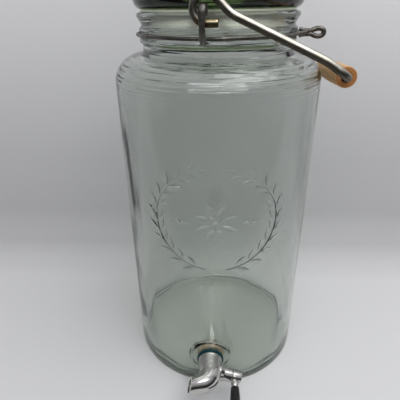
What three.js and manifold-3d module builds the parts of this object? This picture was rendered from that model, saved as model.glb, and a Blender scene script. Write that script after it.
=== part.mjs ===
// Glass drink or detergent dispenser jar: a large cylindrical jar with a glass lid, a wire set on its
// neck, a wire bail with a wooden grip, and a metal tap near the base.
// Units are millimetres. +Z is up, the origin is on the jar's axis in the plane it stands on, and the
// tap looks along -Y.
import * as THREE from 'three';
import { mergeVertices } from 'three/addons/utils/BufferGeometryUtils.js';
import Module from 'manifold-3d';

const wasm = await Module();
wasm.setup();

// ---------- driving dimensions ----------
const GAP = 0.3;                     // clearance between pieces that rest on each other

const BODY_R = 100.3;                // outside radius of the jar's straight wall
const WALL = 5;
const BASE_THICK = 5;
const HEEL_R = 1.6;                    // rounding where the wall meets the base
const SHOULDER_Z = 327;              // where the straight wall ends
const SHOULDER_TOP_Z = 350.6;
const SHOULDER_IN_R = 75;            // radius at which the shoulder is level
const NECK_R = 71.6;
const BEAD_R = 74.2;                 // two beads round the neck hold the neck wire between them
const GROOVE_R = 73.4;
const MOUTH_R = 67;
const RIM_R = 76;
const RIM_Z = 386.5;

const PAD_R = 24.5;                  // foot of the round pad that the tap seals against
const PAD_FACE_R = 20.5;             // its flat face; the side slopes
const PAD_FACE = 101.2;              // distance of the pad's outer face from the jar's axis
const SEAT_R = 22;
const SEAT_FACE = 95.8;              // the same for the flat seat sunk into the wall inside
const TAP_HOLE_R = 8.5;

const SKIRT_R = 66.3;                // the gasket's skirt hangs down inside the mouth
const SKIRT_Z = 372;
const GASKET_IN_R = 64.9;
const GASKET_OUT_R = 72;
const GASKET_THICK = 1.5;
const LID_R = 78;
const LID_PLUG_R = 64.5;
const LID_PLUG_IN_R = 59.5;
const LID_PLUG_DEPTH = 4;            // a shallow ring under the lid centres it in the mouth
const LID_TOP_Z = 444;
const KNOB_R = 20;

const SET_TURN = THREE.MathUtils.degToRad(-7.3);   // the wire set is turned a little on the neck
const RING_R = 75.6;
const RING_WIRE_R = 1.6;
const RING_Z = 367.9;
const TIE_WIRE_R = 1.5;
const TIE_START = RING_R + 0.4;
const TIE_TWIST = 8;                 // length of the twisted pair
const TIE_LOOP = 15;                 // length of the loop beyond it
const TIE_HALF = 5.2;
const EAR_WIRE_R = 1.45;
const EAR_FRONT = 91.2;              // distance from the axis of the ear's upright stretch
const EAR_CURL_R = 5.6;

const HANDLE_WIRE_R = 3.2;
const HANDLE_HALF = 86;              // half the distance between the two arms
const EYE_R = 10;                    // centre-line radius of the eye at each end of the bail
const EYE_X = 2.5;
const EYE_Z = 389.5;
const STUB = 8.5;
const CORNER_X = 110.2;
const CORNER_Z = 341.5;
const GRIP_SLOPE = THREE.MathUtils.degToRad(5);    // the rear corner hangs lower than the front one
const GRIP_LENGTH = 146;
const GRIP_BORE_R = 3.9;
const GRIP_END_R = 8.2;
const GRIP_MID_R = 9.2;

const TAP_X = -5;
const TAP_Z = 42.3;
const TAP_ROLL = THREE.MathUtils.degToRad(18);     // the tap is turned on its side, valve to the right
const WASHER_THICK = 3;
const METAL_WASHER_THICK = 1.5;
const NUT_THICK = 6;
const NUT_R = 14.5;                  // to the corners of the hexagon
const STEM_R = 6.8;
const STEM_IN = SEAT_FACE - PAD_FACE - 15;         // the stem's inner end, from the pad's face
const WATERWAY_R = 4;
const MOUTH_BORE_R = 6;
const BARREL_R = 12.2;
const FLANGE_R = 12.9;
const FLANGE_FROM = WASHER_THICK + 2 * GAP;
const FLANGE_TO = FLANGE_FROM + 2;
const ELBOW_FROM = 20.5;
const ELBOW_R = 16;
const ELBOW_TURN = 62;               // degrees
const SPOUT_R = 8.7;
const SPOUT_LENGTH = 21;
const MOUTH_X = -21.5;               // the spout is cut off along the barrel's direction
const VALVE_OUT = 16.4;              // distance of the valve's axis from the pad's face
const VALVE_R = 7.4;
const PLUG_R = 4.9;
const PLUG_GROOVES = [9.5, 15.5];    // where the plug's two O-ring grooves start
const COLLAR_END = 23.8;
const CAP_LENGTH = 10.4;
const LEVER_X = 28.3;
const LEVER_LENGTH = 48;
const LEVER_DIP = THREE.MathUtils.degToRad(5);     // the lever looks out of the jar and a little down

// ---------- solids ----------
const V3 = (x, y, z) => new THREE.Vector3(x, y, z);
const V2 = (x, y) => new THREE.Vector2(x, y);

function signedVolume(geometry) {
  const p = geometry.attributes.position;
  const [a, b, c] = [V3(), V3(), V3()];
  let sum = 0;
  for (let i = 0; i < geometry.index.count; i += 3) {
    a.fromBufferAttribute(p, geometry.index.getX(i));
    b.fromBufferAttribute(p, geometry.index.getX(i + 1));
    c.fromBufferAttribute(p, geometry.index.getX(i + 2));
    sum += a.dot(b.cross(c)) / 6;
  }
  return sum;
}

// A geometry with shared corners merged and its faces pointing out.
function closed(geometry) {
  geometry.deleteAttribute('normal');
  geometry.deleteAttribute('uv');
  const merged = mergeVertices(geometry, 1e-4);
  if (signedVolume(merged) < 0) {
    const index = merged.index;
    for (let i = 0; i < index.count; i += 3) {
      const first = index.getX(i);
      index.setX(i, index.getX(i + 1));
      index.setX(i + 1, first);
    }
  }
  return merged;
}

function toManifold(geometry) {
  const merged = closed(geometry);
  return new wasm.Manifold(new wasm.Mesh({
    numProp: 3,
    vertProperties: new Float32Array(merged.attributes.position.array),
    triVerts: new Uint32Array(merged.index.array),
  }));
}

function fromManifold(manifold) {
  const mesh = manifold.getMesh();
  const geometry = new THREE.BufferGeometry();
  const corners = new Float32Array(mesh.vertProperties);
  geometry.setAttribute('position', new THREE.BufferAttribute(corners, 3));
  geometry.setIndex(new THREE.BufferAttribute(new Uint32Array(mesh.triVerts), 1));
  return geometry;
}

function join(...geometries) {
  return fromManifold(geometries.map(toManifold).reduce((whole, piece) => whole.add(piece)));
}

function cut(geometry, ...tools) {
  const whole = toManifold(geometry);
  return fromManifold(tools.map(toManifold).reduce((rest, tool) => rest.subtract(tool), whole));
}

// Turns a profile of [radius, height] points round the Z axis.
function turned(profile, segments) {
  const geometry = new THREE.LatheGeometry(profile.map(([r, z]) => V2(r, z)), segments);
  return geometry.rotateX(Math.PI / 2);
}

// A ring of rectangular section round the Z axis.
function washer(inner, outer, low, high, segments = 32) {
  return turned([[inner, low], [outer, low], [outer, high], [inner, high], [inner, low]], segments);
}

// A round rod of a given radius along Z.
function rod(radius, low, high, segments = 24) {
  return turned([[0, low], [radius, low], [radius, high], [0, high]], segments);
}

// Points of an arc from angle a to angle b, in degrees, as [x, y] pairs.
function arc(cx, cy, rx, ry, a, b, steps) {
  return Array.from({ length: steps + 1 }, (_, i) => {
    const angle = THREE.MathUtils.degToRad(a + (b - a) * i / steps);
    return [cx + rx * Math.cos(angle), cy + ry * Math.sin(angle)];
  });
}

// A wire or tube along a curve. The section is round, or widened to a flat-sided oval by spread.
function wire(path, radius, steps, sides = 8, spread = 0) {
  const section = new THREE.Shape(Array.from({ length: sides }, (_, i) => {
    const angle = 2 * Math.PI * (i + 0.5) / sides;
    const side = Math.sin(angle);
    return V2(radius * Math.cos(angle), radius * side + spread * Math.sign(side));
  }));
  return new THREE.ExtrudeGeometry(section, { steps, extrudePath: path, bevelEnabled: false });
}

// An arc in space: centre + radius * (cos(angle) * u + sin(angle) * v), angles in degrees.
class SpaceArc extends THREE.Curve {
  constructor(centre, radius, u, v, from, to) {
    super();
    Object.assign(this, { centre, radius, u, v, from, to });
  }

  getPoint(t, target = new THREE.Vector3()) {
    const angle = THREE.MathUtils.degToRad(this.from + (this.to - this.from) * t);
    return target.copy(this.centre)
      .addScaledVector(this.u, this.radius * Math.cos(angle))
      .addScaledVector(this.v, this.radius * Math.sin(angle));
  }
}

// Adds straight runs through the points to a path, with each inner corner rounded over its own reach.
function addRun(path, points, reaches) {
  let from = points[0];
  for (let i = 1; i < points.length - 1; i += 1) {
    const corner = points[i];
    const before = corner.clone().sub(points[i - 1]).normalize();
    const after = points[i + 1].clone().sub(corner).normalize();
    const start = corner.clone().addScaledVector(before, -reaches[i - 1]);
    const end = corner.clone().addScaledVector(after, reaches[i - 1]);
    path.add(new THREE.LineCurve3(from, start));
    path.add(new THREE.QuadraticBezierCurve3(start, corner, end));
    from = end;
  }
  path.add(new THREE.LineCurve3(from, points[points.length - 1]));
}

// ---------- materials ----------
function finish(color, roughness, metalness) {
  return new THREE.MeshStandardMaterial({ color, roughness, metalness });
}

const CLEAR_GLASS = finish(0xa9b3a8, 0.08, 0);
const GREEN_GLASS = finish(0x3a4630, 0.1, 0);
const PALE_SILICONE = finish(0xd6d5cf, 0.5, 0);
const TEAL_SILICONE = finish(0x1d5560, 0.5, 0);
const DARK_WIRE = finish(0x55524f, 0.5, 0.9);
const SATIN_STEEL = finish(0xaaa79d, 0.3, 1);
const POLISHED_STEEL = finish(0xc9c8c5, 0.15, 1);
const WOOD = finish(0xc49a63, 0.6, 0);
const BLACK_PLASTIC = finish(0x1b1b1d, 0.45, 0);
const BLACK_RUBBER = finish(0x101010, 0.7, 0);

function node(name, geometry, material) {
  const mesh = new THREE.Mesh(closed(geometry), material);
  mesh.name = name;
  return mesh;
}

// ---------- jar ----------
function jarOutside() {
  return [
    [0, 0],
    ...arc(BODY_R - HEEL_R, HEEL_R, HEEL_R, HEEL_R, -90, 0, 3),
    ...arc(SHOULDER_IN_R, SHOULDER_Z, BODY_R - SHOULDER_IN_R, SHOULDER_TOP_Z - SHOULDER_Z, 0, 90, 7),
    [NECK_R, SHOULDER_TOP_Z + 3.4],
    [NECK_R, RING_Z - 8.3],
    [BEAD_R, RING_Z - 6.5],
    [BEAD_R, RING_Z - 4.1],
    [GROOVE_R, RING_Z - 2.3],
    [GROOVE_R, RING_Z + 2.3],
    [BEAD_R, RING_Z + 3.3],
    [BEAD_R, RING_Z + 5.3],
    [NECK_R, RING_Z + 7.7],
    [RIM_R, 383],
    [RIM_R, 384.6],
    [RIM_R - 1.8, RIM_Z],
  ];
}

function jarInside() {
  const inner = BODY_R - WALL;
  return [
    [MOUTH_R + 1.8, RIM_Z],
    [MOUTH_R, RIM_Z - 1.8],
    [MOUTH_R, SHOULDER_TOP_Z - 0.5],
    ...arc(MOUTH_R + 2, SHOULDER_Z - 2, inner - MOUTH_R - 2, SHOULDER_TOP_Z - SHOULDER_Z - 3, 90, 0, 6),
    ...arc(inner - 8, BASE_THICK + 8, 8, 8, 0, -90, 3),
    [0, BASE_THICK],
  ];
}

function facingOut(geometry, x, z) {
  return geometry.rotateX(Math.PI / 2).translate(x, 0, z);
}

function glassJar() {
  const shell = turned([...jarOutside(), ...jarInside()], 40);
  const slope = [[0, SEAT_FACE], [PAD_R, SEAT_FACE], [PAD_FACE_R, PAD_FACE], [0, PAD_FACE]];
  const pad = facingOut(turned(slope, 28), TAP_X, TAP_Z);
  const seat = facingOut(rod(SEAT_R, SEAT_FACE - 12, SEAT_FACE, 28), TAP_X, TAP_Z);
  const hole = facingOut(rod(TAP_HOLE_R, SEAT_FACE - 5, PAD_FACE + 5, 20), TAP_X, TAP_Z);
  return node('glass_jar', cut(join(shell, pad), seat, hole), CLEAR_GLASS);
}

// ---------- lid ----------
function glassLid() {
  const seat = RIM_Z + GASKET_THICK + 2 * GAP;
  const profile = [
    [0, seat + 9.5],
    [LID_PLUG_IN_R - 6, seat + 9],
    [LID_PLUG_IN_R, seat + 4],
    [LID_PLUG_IN_R, seat - LID_PLUG_DEPTH],
    [LID_PLUG_R, seat - LID_PLUG_DEPTH],
    [LID_PLUG_R, seat],
    [71, seat],
    ...arc(71, seat + 8, LID_R - 71, 8, -75, 0, 4),
    ...arc(LID_R - 6, 403, 6, 6, 0, 70, 3),
    [56, 412.5],
    [30, 417],
    [14, 419],
    [12, 423],
    ...arc(0, 433, KNOB_R, LID_TOP_Z - 433, -25, 90, 6),
  ];
  return node('glass_lid', turned(profile, 36), GREEN_GLASS);
}

function lidGasket() {
  const low = RIM_Z + GAP;
  const ring = turned([
    [GASKET_IN_R, SKIRT_Z],
    [SKIRT_R, SKIRT_Z],
    [SKIRT_R, low],
    [GASKET_OUT_R, low],
    [GASKET_OUT_R, low + GASKET_THICK],
    [GASKET_IN_R, low + GASKET_THICK],
    [GASKET_IN_R, SKIRT_Z],
  ], 40);
  return node('lid_gasket', ring, PALE_SILICONE);
}

// ---------- wire set on the neck ----------
// One of the two strands that leave the ring side by side and twist half a turn round each other.
class Strand extends THREE.Curve {
  constructor(phase) {
    super();
    this.phase = phase;
  }

  getPoint(t, target = new THREE.Vector3()) {
    const angle = this.phase + Math.PI * t;
    return target.set(TIE_START + TIE_TWIST * t, 1.35 * Math.cos(angle), RING_Z + 1.35 * Math.sin(angle));
  }
}

// The teardrop loop at the end of the twist.
class Teardrop extends THREE.Curve {
  getPoint(t, target = new THREE.Vector3()) {
    const angle = 2 * Math.PI * t;
    const along = (1 - Math.cos(angle)) / 2;
    const width = TIE_HALF * Math.sin(angle) * Math.pow(along, 0.45);
    return target.set(TIE_START + TIE_TWIST - 1.5 + TIE_LOOP * along, 0, RING_Z + width);
  }
}

function neckWire() {
  const ring = new THREE.TorusGeometry(RING_R, RING_WIRE_R, 8, 40).translate(0, 0, RING_Z);
  const strands = [0, Math.PI].map((phase) => wire(new Strand(Math.PI / 2 + phase), TIE_WIRE_R, 7, 8));
  const loop = wire(new Teardrop(), TIE_WIRE_R, 20, 8);
  return node('neck_wire', join(ring, ...strands, loop), DARK_WIRE);
}

// An ear is a flattened wire hook, twice as wide as it is thick. It starts under the ring, rises in
// front of the bail's eye and curls back through it. side is -1 for the front ear and +1 for the rear.
function ear(name, side) {
  const out = (distance, z) => V3(0, side * distance, z);
  const path = new THREE.CurvePath();
  const low = RING_Z - RING_WIRE_R - EAR_WIRE_R - GAP;
  const curlZ = EYE_Z + EYE_R - HANDLE_WIRE_R - EAR_WIRE_R - GAP - EAR_CURL_R - 2.6;
  const points = [out(RING_R, low), out(RING_R + 9, low), out(EAR_FRONT, low + 9), out(EAR_FRONT, curlZ)];
  addRun(path, points, [5, 5]);
  const centre = out(EAR_FRONT - EAR_CURL_R, curlZ);
  path.add(new SpaceArc(centre, EAR_CURL_R, V3(0, side, 0), V3(0, 0, 1), 0, 180));
  const inner = EAR_FRONT - 2 * EAR_CURL_R;
  path.add(new THREE.LineCurve3(out(inner, curlZ), out(inner, curlZ - 1.5)));
  return node(name, wire(path, EAR_WIRE_R, 26, 8, EAR_WIRE_R), DARK_WIRE);
}

// ---------- bail and grip ----------
function bailPath() {
  const path = new THREE.CurvePath();
  const leave = 45;
  const turn = THREE.MathUtils.degToRad(leave);
  const halves = [-1, 1].map((side) => {
    const eye = V3(EYE_X, side * HANDLE_HALF, EYE_Z);
    const drop = side > 0 ? 2 * HANDLE_HALF * Math.tan(GRIP_SLOPE) : 0;
    const cornerZ = CORNER_Z - drop;
    return {
      eye,
      stubEnd: eye.clone().add(V3(STUB, 0, -EYE_R)),
      bottom: eye.clone().add(V3(0, 0, -EYE_R)),
      exit: eye.clone().add(V3(EYE_R * Math.cos(turn), 0, EYE_R * Math.sin(turn))),
      bend: eye.clone().add(V3(17.9, 0, -3.75)),
      knee: V3(CORNER_X - 16.4, side * HANDLE_HALF, cornerZ + 11.3),
      corner: V3(CORNER_X, side * HANDLE_HALF, cornerZ),
    };
  });
  const [front, rear] = halves;
  const x = V3(1, 0, 0);
  const z = V3(0, 0, 1);
  path.add(new THREE.LineCurve3(front.stubEnd, front.bottom));
  path.add(new SpaceArc(front.eye, EYE_R, x, z, 270, leave));
  const down = [front.exit, front.bend, front.knee, front.corner];
  const up = [rear.corner, rear.knee, rear.bend, rear.exit];
  addRun(path, [...down, ...up], [5, 7, 10, 10, 7, 5]);
  path.add(new SpaceArc(rear.eye, EYE_R, x, z, leave, 270));
  path.add(new THREE.LineCurve3(rear.bottom, rear.stubEnd));
  return path;
}

function handleWire() {
  return node('handle_wire', wire(bailPath(), HANDLE_WIRE_R, 132, 8), SATIN_STEEL);
}

function woodenGrip() {
  const half = GRIP_LENGTH / 2;
  const grip = node('wooden_grip', turned([
    [GRIP_BORE_R, -half],
    [GRIP_END_R - 0.8, -half],
    [GRIP_END_R, -half + 1],
    [GRIP_MID_R - 0.5, -half * 0.6],
    [GRIP_MID_R, 0],
    [GRIP_MID_R - 0.5, half * 0.6],
    [GRIP_END_R, half - 1],
    [GRIP_END_R - 0.8, half],
    [GRIP_BORE_R, half],
    [GRIP_BORE_R, -half],
  ], 20), WOOD);
  grip.position.set(CORNER_X, 0, CORNER_Z - HANDLE_HALF * Math.tan(GRIP_SLOPE));
  grip.rotation.x = -(Math.PI / 2 + GRIP_SLOPE);
  return grip;
}

// ---------- tap ----------
// The tap is built round its own axis: +Z runs out of the jar from the pad's face, +X runs along the
// valve. tapGroup() lays it down and turns it on its side.
const SEAT_INNER = SEAT_FACE - PAD_FACE;

function alongX(geometry) {
  return geometry.rotateY(Math.PI / 2);
}

// The spout's centre line: straight out of the barrel, round the elbow and on to the mouth.
function spoutPath() {
  const path = new THREE.CurvePath();
  const centre = V3(-ELBOW_R, 0, ELBOW_FROM);
  const end = THREE.MathUtils.degToRad(ELBOW_TURN);
  const last = centre.clone().add(V3(ELBOW_R * Math.cos(end), 0, ELBOW_R * Math.sin(end)));
  const tangent = V3(-Math.sin(end), 0, Math.cos(end));
  path.add(new THREE.LineCurve3(V3(0, 0, FLANGE_FROM + 1), V3(0, 0, ELBOW_FROM)));
  path.add(new SpaceArc(centre, ELBOW_R, V3(1, 0, 0), V3(0, 0, 1), 0, ELBOW_TURN));
  path.add(new THREE.LineCurve3(last, last.clone().addScaledVector(tangent, SPOUT_LENGTH)));
  return path;
}

// A cylinder bent along a path: each of its rings is moved to its place and scaled by radiusAt(t).
function bentRod(path, radiusAt, steps, sides) {
  const rings = new THREE.CylinderGeometry(1, 1, 1, sides, steps);
  const frames = path.computeFrenetFrames(steps, false);
  const p = rings.attributes.position;
  for (let i = 0; i < p.count; i += 1) {
    const step = Math.round((p.getY(i) + 0.5) * steps);
    const radius = radiusAt(step / steps);
    const point = path.getPointAt(step / steps)
      .addScaledVector(frames.normals[step], radius * p.getX(i))
      .addScaledVector(frames.binormals[step], radius * p.getZ(i));
    p.setXYZ(i, point.x, point.y, point.z);
  }
  return rings;
}

// The barrel keeps its width to the elbow and narrows from there to the mouth.
function barrelRadius(t) {
  const narrowing = THREE.MathUtils.smoothstep(t, 0.3, 0.85);
  return THREE.MathUtils.lerp(BARREL_R, SPOUT_R, narrowing);
}

function tapBody() {
  const stem = rod(STEM_R, STEM_IN, FLANGE_FROM + 1, 20);
  const flange = rod(FLANGE_R, FLANGE_FROM, FLANGE_TO, 24);
  const spout = bentRod(spoutPath(), barrelRadius, 14, 20);
  const housing = alongX(turned([
    [0, 0],
    [VALVE_R + 2, 0],
    [VALVE_R + 2, BARREL_R - 1],
    [VALVE_R, BARREL_R + 2.5],
    [VALVE_R, COLLAR_END],
    [0, COLLAR_END],
  ], 20)).translate(0, 0, VALVE_OUT);
  const inlet = rod(WATERWAY_R, STEM_IN - 5, VALVE_OUT, 10);
  const widening = (t) => THREE.MathUtils.lerp(WATERWAY_R, MOUTH_BORE_R, THREE.MathUtils.smoothstep(t, 0.4, 0.8));
  const outlet = bentRod(spoutPath(), widening, 14, 16);
  const beyond = new THREE.BoxGeometry(30, 60, 90).translate(MOUTH_X - 15, 0, 40);
  const plugBore = alongX(rod(PLUG_R + 0.3, -PLUG_R - 2.5, COLLAR_END + 5, 20)).translate(0, 0, VALVE_OUT);
  const solid = join(stem, flange, spout, housing);
  return node('tap_body', cut(solid, inlet, outlet, plugBore, beyond), POLISHED_STEEL);
}

function tapWasher(name, from, thick, outer, material) {
  return node(name, washer(STEM_R + 0.4, outer, from, from + thick, 28), material);
}

function lockNut() {
  const high = SEAT_INNER - WASHER_THICK - METAL_WASHER_THICK - 3 * GAP;
  const hexagon = new THREE.CylinderGeometry(NUT_R, NUT_R, NUT_THICK, 6).rotateX(Math.PI / 2);
  const bore = rod(STEM_R + 0.35, high - NUT_THICK - 2, high + 2, 20);
  return node('lock_nut', cut(hexagon.translate(0, 0, high - NUT_THICK / 2), bore), SATIN_STEEL);
}

// The valve's moving pieces turn about the valve's axis. All are modelled round +Z first.
function valvePlug() {
  const groove = (z) => washer(PLUG_R - 1, PLUG_R + 1, z, z + 1.8, 20);
  const body = rod(PLUG_R, -PLUG_R - 2, COLLAR_END, 20);
  const post = rod(3, COLLAR_END - 2, COLLAR_END + 1.7, 12);
  const port = rod(3.4, -10, 10, 12).rotateY(Math.PI / 2);
  const screwHole = rod(1.3, COLLAR_END - 8, COLLAR_END + 5, 8);
  const plug = cut(join(body, post), ...PLUG_GROOVES.map(groove), port.rotateZ(Math.PI / 2), screwHole);
  return node('valve_plug', alongX(plug).translate(0, 0, VALVE_OUT), POLISHED_STEEL);
}

function oRing(name, x) {
  const ring = new THREE.TorusGeometry(PLUG_R - 0.45, 0.42, 6, 20).translate(0, 0, x);
  return node(name, alongX(ring).translate(0, 0, VALVE_OUT), BLACK_RUBBER);
}

function valveCap() {
  const low = COLLAR_END + GAP;
  const high = COLLAR_END + GAP + CAP_LENGTH;
  const width = VALVE_R - 0.4;
  const drum = turned([[0, low], [width, low], [width, high - 0.8], [width - 0.8, high], [0, high]], 24);
  const postHole = rod(3.3, low - 1, COLLAR_END + 2, 12);
  const screwHole = rod(1.7, low, high - 2, 8);
  const screwSeat = rod(3.4, high - 3, high + 1, 12);
  const leverHole = rod(1.9, 3.8, 12, 8).rotateY(-Math.PI / 2).rotateZ(LEVER_DIP);
  const cap = cut(drum, postHole, screwHole, screwSeat, leverHole.translate(0, 0, LEVER_X));
  return node('valve_cap', alongX(cap).translate(0, 0, VALVE_OUT), POLISHED_STEEL);
}

function capScrew() {
  const head = COLLAR_END + CAP_LENGTH - 3 + 2 * GAP;
  const shank = rod(1, COLLAR_END - 6.5, head + 0.5, 8);
  const top = rod(3, head, head + 2, 12);
  return node('cap_screw', alongX(join(shank, top)).translate(0, 0, VALVE_OUT), SATIN_STEEL);
}

const METAL_FROM = SEAT_INNER - 2 * GAP - WASHER_THICK - METAL_WASHER_THICK;
const tapPieces = [
  tapBody(),
  tapWasher('outer_washer', GAP, WASHER_THICK, 14.5, TEAL_SILICONE),
  tapWasher('inner_washer', SEAT_INNER - GAP - WASHER_THICK, WASHER_THICK, 14.5, PALE_SILICONE),
  tapWasher('metal_washer', METAL_FROM, METAL_WASHER_THICK, 15, SATIN_STEEL),
  lockNut(),
  valvePlug(),
  oRing('plug_ring_inner', PLUG_GROOVES[0] + 0.9),
  oRing('plug_ring_outer', PLUG_GROOVES[1] + 0.9),
  valveCap(),
  capScrew(),
];

function leverPiece(name, geometry, material) {
  const piece = node(name, geometry, material);
  piece.rotation.x = LEVER_DIP;
  piece.position.set(LEVER_X, 0, VALVE_OUT);
  return piece;
}

function leverPieces() {
  const arm = rod(1.6, 4.2, LEVER_LENGTH - 4, 10);
  const shoulder = turned([[0, 7.3], [4.2, 7.3], [4.2, 11.6], [3.7, 12.2], [3.7, 13], [0, 13]], 14);
  const sleeve = turned([
    [1.9, 13.3],
    [4.3, 13.3],
    [5, 22],
    [5.4, LEVER_LENGTH - 8],
    [4.9, LEVER_LENGTH - 2],
    [2.8, LEVER_LENGTH],
    [0, LEVER_LENGTH],
    [0, LEVER_LENGTH - 3.6],
    [1.9, LEVER_LENGTH - 3.6],
    [1.9, 13.3],
  ], 14);
  return [
    leverPiece('lever_arm', join(arm, shoulder), POLISHED_STEEL),
    leverPiece('lever_sleeve', sleeve, BLACK_PLASTIC),
  ];
}

function tapGroup() {
  const upright = new THREE.Group();
  upright.add(...tapPieces, ...leverPieces());
  upright.rotation.x = Math.PI / 2;
  const roll = new THREE.Group();
  roll.add(upright);
  roll.rotation.y = TAP_ROLL;
  roll.position.set(TAP_X, -PAD_FACE, TAP_Z);
  return roll;
}

// ---------- the whole object ----------
const wireSet = new THREE.Group();
wireSet.add(neckWire(), ear('front_ear', -1), ear('rear_ear', 1), handleWire(), woodenGrip());
wireSet.rotation.z = SET_TURN;

const group = new THREE.Group();
group.add(glassJar(), glassLid(), lidGasket(), wireSet, tapGroup());

export default group;
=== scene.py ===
import math

import bmesh
import bpy
import numpy as np
from mathutils import Matrix, Vector, noise


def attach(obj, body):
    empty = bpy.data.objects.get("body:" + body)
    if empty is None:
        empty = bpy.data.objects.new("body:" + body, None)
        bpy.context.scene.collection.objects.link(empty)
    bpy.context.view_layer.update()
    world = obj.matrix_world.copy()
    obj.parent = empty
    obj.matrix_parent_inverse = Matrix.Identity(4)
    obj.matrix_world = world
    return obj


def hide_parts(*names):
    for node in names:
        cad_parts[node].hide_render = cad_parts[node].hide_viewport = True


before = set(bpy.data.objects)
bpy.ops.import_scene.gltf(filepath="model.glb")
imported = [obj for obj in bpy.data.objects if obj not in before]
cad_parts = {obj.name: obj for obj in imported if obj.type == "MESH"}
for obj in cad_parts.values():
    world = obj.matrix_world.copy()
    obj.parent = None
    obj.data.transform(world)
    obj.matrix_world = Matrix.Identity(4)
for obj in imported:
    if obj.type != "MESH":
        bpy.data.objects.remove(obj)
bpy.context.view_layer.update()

# Lengths below are in millimetres, in the model's frame: +Z up, the tap towards -Y.
MM = 0.001

# ---------- dimensions, as in the CAD model ----------
BODY_R = 100.3
INNER_R = 95.3
BASE_THICK = 5.0
BASE_HOLLOW = 1.6
HEEL_R = 1.6
SHOULDER_Z = 327.0
SHOULDER_TOP_Z = 350.6
SHOULDER_IN_R = 75.0
NECK_R = 71.6
BEAD_R = 74.2
GROOVE_R = 73.4
MOUTH_R = 67.0
RIM_R = 76.0
RIM_Z = 386.5
PAD_R = 24.5
PAD_FACE_R = 20.5
PAD_FACE = 101.2
SEAT_R = 22.0
SEAT_FACE = 95.8
TAP_HOLE_R = 8.5
LID_SEAT_Z = 388.6
LID_R = 78.0
LID_TOP_Z = 444.0
LID_PLUG_R = 64.5
LID_PLUG_IN_R = 59.5
LID_PLUG_DEPTH = 4.0
SKIRT_Z = 372.0

SET_TURN = math.radians(-7.3)
RING_R = 75.6
RING_WIRE_R = 1.6
RING_Z = 367.9
TIE_WIRE_R = 1.5
TIE_START = RING_R + 0.4
EAR_WIRE_R = 1.45
EAR_FRONT = 91.2
EAR_CURL_R = 5.6
HANDLE_WIRE_R = 3.2
HANDLE_HALF = 86.0
EYE_R = 10.0
EYE_X = 2.5
EYE_Z = 389.5
CORNER_X = 110.2
CORNER_Z = 341.5
GRIP_SLOPE = math.radians(5)
GRIP_LENGTH = 146.0

TAP_X = -5.0
TAP_Z = 42.3
TAP_ROLL = math.radians(18)
STEM_R = 6.8
STEM_END = -15.0
NUT_R = 14.5
NUT_THICK = 6.0
WASHER_IN_R = 7.2
WASHER_R = 14.5
WASHER_THICK = 3.0
METAL_WASHER_R = 15.0
METAL_WASHER_THICK = 1.5
FLANGE_R = 12.9
BARREL_R = 12.2
ELBOW_R = 16.0
ELBOW_TURN = math.radians(62)
ELBOW_START = 20.5
SPOUT_R = 8.7
SPOUT_LENGTH = 21.0
SPOUT_CUT_X = -21.5
VALVE_OUT = 16.4
COLLAR_END = 23.8
CAP_R = 7.0
CAP_LENGTH = 10.4
LEVER_X = 28.3
LEVER_R = 1.6
LEVER_LENGTH = 48.0
LEVER_DIP = math.radians(5)
GAP = 0.3

WIRE_FRAME = Matrix.Rotation(SET_TURN, 4, "Z")
TAP_FRAME = (
    Matrix.Translation((TAP_X, -PAD_FACE, TAP_Z))
    @ Matrix.Rotation(TAP_ROLL, 4, "Y")
    @ Matrix.Rotation(math.pi / 2, 4, "X")
)
ALONG_X = Matrix.Rotation(math.pi / 2, 4, "Y")
VALVE_FRAME = TAP_FRAME @ Matrix.Translation((0, 0, VALVE_OUT)) @ ALONG_X
LEVER_FRAME = (
    TAP_FRAME @ Matrix.Translation((LEVER_X, 0, VALVE_OUT)) @ Matrix.Rotation(LEVER_DIP, 4, "X")
)
GRIP_FRAME = (
    WIRE_FRAME
    @ Matrix.Translation((CORNER_X, 0, CORNER_Z - HANDLE_HALF * math.tan(GRIP_SLOPE)))
    @ Matrix.Rotation(-(math.pi / 2 + GRIP_SLOPE), 4, "X")
)


# ---------- shapes ----------
def rounded(corners, steps=5):
    """A polyline of (x, y, radius) corners, with each corner rounded to its radius."""
    points = []
    for i, (x, y, radius) in enumerate(corners):
        here = np.array((x, y), float)
        if radius <= 0 or i in (0, len(corners) - 1):
            points.append(tuple(here))
            continue
        back = np.array(corners[i - 1][:2], float) - here
        ahead = np.array(corners[i + 1][:2], float) - here
        back_length, ahead_length = np.linalg.norm(back), np.linalg.norm(ahead)
        back, ahead = back / back_length, ahead / ahead_length
        turn = math.acos(np.clip(np.dot(back, ahead), -1, 1))
        if turn > math.radians(176):
            points.append(tuple(here))
            continue
        reach = min(radius / math.tan(turn / 2), 0.48 * back_length, 0.48 * ahead_length)
        fitted = reach * math.tan(turn / 2)
        centre = here + (back + ahead) / np.linalg.norm(back + ahead) * fitted / math.sin(turn / 2)
        start, end = here + back * reach - centre, here + ahead * reach - centre
        sweep = math.pi - turn
        for k in range(steps + 1):
            t = k / steps
            mixed = (math.sin((1 - t) * sweep) * start + math.sin(t * sweep) * end) / math.sin(sweep)
            points.append(tuple(centre + mixed))
    return points


def arc(cx, cy, rx, ry, a, b, steps):
    """Corners of an arc from angle a to angle b, in degrees."""
    return [
        (cx + rx * math.cos(math.radians(t)), cy + ry * math.sin(math.radians(t)), 0)
        for t in np.linspace(a, b, steps + 1)
    ]


def spaced(points, longest):
    """The polyline with its long stretches divided."""
    result = [points[0]]
    for p, q in zip(points, points[1:]):
        parts = max(1, math.ceil(math.dist(p, q) / longest))
        for k in range(1, parts + 1):
            result.append(tuple(p[j] + (q[j] - p[j]) * k / parts for j in range(len(p))))
    return result


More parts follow.
